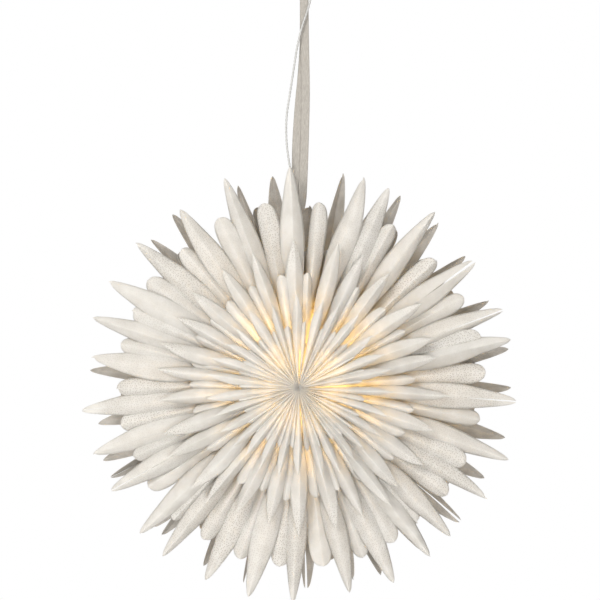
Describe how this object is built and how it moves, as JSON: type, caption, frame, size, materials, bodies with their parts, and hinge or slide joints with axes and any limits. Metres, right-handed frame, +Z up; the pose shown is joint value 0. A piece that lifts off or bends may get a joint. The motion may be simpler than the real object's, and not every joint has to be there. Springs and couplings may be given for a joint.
{
  "type": "hanging paper star lamp",
  "caption": "Round star of flat paper bags fanned about a small lamp, with pointed and rounded tips in three rows, hung on a velvet ribbon with a thin cord and plug.",
  "frame": {"origin": "inner top of the ribbon's hanging loop, where a hook holds the star", "axes": "+Z up along the ribbon, the front of the star faces -Y, X to the right seen from the front"},
  "size_m": [0.5969, 0.2, 0.9401],
  "materials": {
    "bag_paper": "off-white unbleached paper, matt, punched with fine holes",
    "cover_card": "stiff grey-white card, matt",
    "magnet_nickel": "nickel-plated disc magnets, satin",
    "bracket_steel": "zinc-plated sheet steel",
    "holder_plastic": "white moulded thermoplastic, low gloss",
    "core_ceramic": "unglazed white ceramic",
    "thread_brass": "rolled brass",
    "bulb_glass": "frosted warm white glass",
    "cap_nickel": "rolled aluminium screw cap",
    "ribbon_velvet": "grey-beige velvet ribbon, soft pile along its length",
    "cord_clear": "clear insulated two-strand cord",
    "tie_paper": "white coated tie strip",
    "plug_white": "white moulded plug, low gloss",
    "pin_brass": "nickel-plated brass pins"
  },
  "bodies": {
    "root": {"cover_left": "cover_card", "bag_first": "bag_paper", "cover_magnets_left": "magnet_nickel", "lamp_bracket": "bracket_steel", "bracket_rivets": "bracket_steel", "holder_nipple": "thread_brass", "nipple_nut": "bracket_steel", "holder_cap": "holder_plastic", "holder_shell": "holder_plastic", "holder_core": "core_ceramic", "holder_contact": "thread_brass", "screw_sleeve": "thread_brass", "cord_grip": "holder_plastic", "ribbon": "ribbon_velvet", "cord": "cord_clear", "cord_coil": "cord_clear", "coil_tie": "tie_paper", "plug_tie": "tie_paper", "cord_tail": "cord_clear", "plug_body": "plug_white", "plug_pins": "pin_brass"},
    "bag_pair_01": {"bag_pair_01": "bag_paper"},
    "bag_pair_02": {"bag_pair_02": "bag_paper"},
    "bag_pair_03": {"bag_pair_03": "bag_paper"},
    "bag_pair_04": {"bag_pair_04": "bag_paper"},
    "bag_pair_05": {"bag_pair_05": "bag_paper"},
    "bag_pair_06": {"bag_pair_06": "bag_paper"},
    "bag_pair_07": {"bag_pair_07": "bag_paper"},
    "bag_pair_08": {"bag_pair_08": "bag_paper"},
    "bag_pair_09": {"bag_pair_09": "bag_paper"},
    "bag_pair_10": {"bag_pair_10": "bag_paper"},
    "bag_pair_11": {"bag_pair_11": "bag_paper"},
    "bag_pair_12": {"bag_pair_12": "bag_paper"},
    "bag_pair_13": {"bag_pair_13": "bag_paper"},
    "bag_pair_14": {"bag_pair_14": "bag_paper"},
    "bag_pair_15": {"bag_pair_15": "bag_paper"},
    "bag_pair_16": {"bag_pair_16": "bag_paper"},
    "bag_pair_17": {"bag_pair_17": "bag_paper"},
    "bag_pair_18": {"bag_pair_18": "bag_paper"},
    "bag_pair_19": {"bag_pair_19": "bag_paper"},
    "bag_pair_20": {"bag_pair_20": "bag_paper"},
    "bag_pair_21": {"bag_pair_21": "bag_paper"},
    "bag_pair_22": {"bag_pair_22": "bag_paper"},
    "bag_pair_23": {"bag_pair_23": "bag_paper"},
    "bag_pair_24": {"bag_pair_24": "bag_paper"},
    "bag_pair_25": {"bag_pair_25": "bag_paper"},
    "bag_pair_26": {"bag_pair_26": "bag_paper"},
    "bag_pair_27": {"bag_pair_27": "bag_paper"},
    "bag_last": {"bag_last": "bag_paper", "cover_right": "cover_card", "cover_magnets_right": "magnet_nickel"},
    "bulb": {"bulb_globe": "bulb_glass", "bulb_cap": "cap_nickel"}
  },
  "joints": [
    {"name": "fold_01", "type": "hinge", "parent": "root", "child": "bag_pair_01", "pos_m": [-0.004, 0, -0.64], "axis": [0, -1, 0], "range_deg": [-14.55, 0.5]},
    {"name": "fold_02", "type": "hinge", "parent": "root", "child": "bag_pair_02", "pos_m": [-0.004, 0, -0.64], "axis": [0, -1, 0], "range_deg": [-27.65, 0.5]},
    {"name": "fold_03", "type": "hinge", "parent": "root", "child": "bag_pair_03", "pos_m": [-0.004, 0, -0.64], "axis": [0, -1, 0], "range_deg": [-41.75, 0.5]},
    {"name": "fold_04", "type": "hinge", "parent": "root", "child": "bag_pair_04", "pos_m": [-0.004, 0, -0.64], "axis": [0, -1, 0], "range_deg": [-53.85, 0.5]},
    {"name": "fold_05", "type": "hinge", "parent": "root", "child": "bag_pair_05", "pos_m": [-0.004, 0, -0.64], "axis": [0, -1, 0], "range_deg": [-63.95, 0.5]},
    {"name": "fold_06", "type": "hinge", "parent": "root", "child": "bag_pair_06", "pos_m": [-0.004, 0, -0.64], "axis": [0, -1, 0], "range_deg": [-74.05, 0.5]},
    {"name": "fold_07", "type": "hinge", "parent": "root", "child": "bag_pair_07", "pos_m": [-0.004, 0, -0.64], "axis": [0, -1, 0], "range_deg": [-86.15, 0.5]},
    {"name": "fold_08", "type": "hinge", "parent": "root", "child": "bag_pair_08", "pos_m": [-0.004, 0, -0.64], "axis": [0, -1, 0], "range_deg": [-97.75, 0.5]},
    {"name": "fold_09", "type": "hinge", "parent": "root", "child": "bag_pair_09", "pos_m": [-0.004, 0, -0.64], "axis": [0, -1, 0], "range_deg": [-107.35, 0.5]},
    {"name": "fold_10", "type": "hinge", "parent": "root", "child": "bag_pair_10", "pos_m": [-0.004, 0, -0.64], "axis": [0, -1, 0], "range_deg": [-118.45, 0.5]},
    {"name": "fold_11", "type": "hinge", "parent": "root", "child": "bag_pair_11", "pos_m": [-0.004, 0, -0.64], "axis": [0, -1, 0], "range_deg": [-127.55, 0.5]},
    {"name": "fold_12", "type": "hinge", "parent": "root", "child": "bag_pair_12", "pos_m": [-0.004, 0, -0.64], "axis": [0, -1, 0], "range_deg": [-139.15, 0.5]},
    {"name": "fold_13", "type": "hinge", "parent": "root", "child": "bag_pair_13", "pos_m": [-0.004, 0, -0.64], "axis": [0, -1, 0], "range_deg": [-151.25, 0.5]},
    {"name": "fold_14", "type": "hinge", "parent": "root", "child": "bag_pair_14", "pos_m": [-0.004, 0, -0.64], "axis": [0, -1, 0], "range_deg": [-162.35, 0.5]},
    {"name": "fold_15", "type": "hinge", "parent": "root", "child": "bag_pair_15", "pos_m": [-0.004, 0, -0.64], "axis": [0, -1, 0], "range_deg": [-175.45, 0.5]},
    {"name": "fold_16", "type": "hinge", "parent": "root", "child": "bag_pair_16", "pos_m": [-0.004, 0, -0.64], "axis": [0, -1, 0], "range_deg": [-186.55, 0.5]},
    {"name": "fold_17", "type": "hinge", "parent": "root", "child": "bag_pair_17", "pos_m": [-0.004, 0, -0.64], "axis": [0, -1, 0], "range_deg": [-197.65, 0.5]},
    {"name": "fold_18", "type": "hinge", "parent": "root", "child": "bag_pair_18", "pos_m": [-0.004, 0, -0.64], "axis": [0, -1, 0], "range_deg": [-205.25, 0.5]},
    {"name": "fold_19", "type": "hinge", "parent": "root", "child": "bag_pair_19", "pos_m": [-0.004, 0, -0.64], "axis": [0, -1, 0], "range_deg": [-217.35, 0.5]},
    {"name": "fold_20", "type": "hinge", "parent": "root", "child": "bag_pair_20", "pos_m": [-0.004, 0, -0.64], "axis": [0, -1, 0], "range_deg": [-228.95, 0.5]},
    {"name": "fold_21", "type": "hinge", "parent": "root", "child": "bag_pair_21", "pos_m": [-0.004, 0, -0.64], "axis": [0, -1, 0], "range_deg": [-242.55, 0.5]},
    {"name": "fold_22", "type": "hinge", "parent": "root", "child": "bag_pair_22", "pos_m": [-0.004, 0, -0.64], "axis": [0, -1, 0], "range_deg": [-257.65, 0.5]},
    {"name": "fold_23", "type": "hinge", "parent": "root", "child": "bag_pair_23", "pos_m": [-0.004, 0, -0.64], "axis": [0, -1, 0], "range_deg": [-266.25, 0.5]},
    {"name": "fold_24", "type": "hinge", "parent": "root", "child": "bag_pair_24", "pos_m": [-0.004, 0, -0.64], "axis": [0, -1, 0], "range_deg": [-279.35, 0.5]},
    {"name": "fold_25", "type": "hinge", "parent": "root", "child": "bag_pair_25", "pos_m": [-0.004, 0, -0.64], "axis": [0, -1, 0], "range_deg": [-293.95, 0.5]},
    {"name": "fold_26", "type": "hinge", "parent": "root", "child": "bag_pair_26", "pos_m": [-0.004, 0, -0.64], "axis": [0, -1, 0], "range_deg": [-308.05, 0.5]},
    {"name": "fold_27", "type": "hinge", "parent": "root", "child": "bag_pair_27", "pos_m": [-0.004, 0, -0.64], "axis": [0, -1, 0], "range_deg": [-316.65, 0.5]},
    {"name": "fold", "type": "hinge", "parent": "root", "child": "bag_last", "pos_m": [-0.004, 0, -0.64], "axis": [0, -1, 0], "range_deg": [-331.85, 0]},
    {"name": "bulb_unscrew", "type": "slide", "parent": "root", "child": "bulb", "axis": [0, 0, 1], "range_m": [-0.022, 0]}
  ],
  "couplings": [
    {"joint": "fold_01", "follows": "fold", "ratio": 0.040832},
    {"joint": "fold_02", "follows": "fold", "ratio": 0.080307},
    {"joint": "fold_03", "follows": "fold", "ratio": 0.1228},
    {"joint": "fold_04", "follows": "fold", "ratio": 0.15926},
    {"joint": "fold_05", "follows": "fold", "ratio": 0.18969},
    {"joint": "fold_06", "follows": "fold", "ratio": 0.22013},
    {"joint": "fold_07", "follows": "fold", "ratio": 0.25659},
    {"joint": "fold_08", "follows": "fold", "ratio": 0.29155},
    {"joint": "fold_09", "follows": "fold", "ratio": 0.32048},
    {"joint": "fold_10", "follows": "fold", "ratio": 0.35392},
    {"joint": "fold_11", "follows": "fold", "ratio": 0.38135},
    {"joint": "fold_12", "follows": "fold", "ratio": 0.4163},
    {"joint": "fold_13", "follows": "fold", "ratio": 0.45276},
    {"joint": "fold_14", "follows": "fold", "ratio": 0.48621},
    {"joint": "fold_15", "follows": "fold", "ratio": 0.52569},
    {"joint": "fold_16", "follows": "fold", "ratio": 0.55914},
    {"joint": "fold_17", "follows": "fold", "ratio": 0.59259},
    {"joint": "fold_18", "follows": "fold", "ratio": 0.61549},
    {"joint": "fold_19", "follows": "fold", "ratio": 0.65195},
    {"joint": "fold_20", "follows": "fold", "ratio": 0.68691},
    {"joint": "fold_21", "follows": "fold", "ratio": 0.72789},
    {"joint": "fold_22", "follows": "fold", "ratio": 0.77339},
    {"joint": "fold_23", "follows": "fold", "ratio": 0.79931},
    {"joint": "fold_24", "follows": "fold", "ratio": 0.83878},
    {"joint": "fold_25", "follows": "fold", "ratio": 0.88278},
    {"joint": "fold_26", "follows": "fold", "ratio": 0.92527},
    {"joint": "fold_27", "follows": "fold", "ratio": 0.95118}
  ]
}
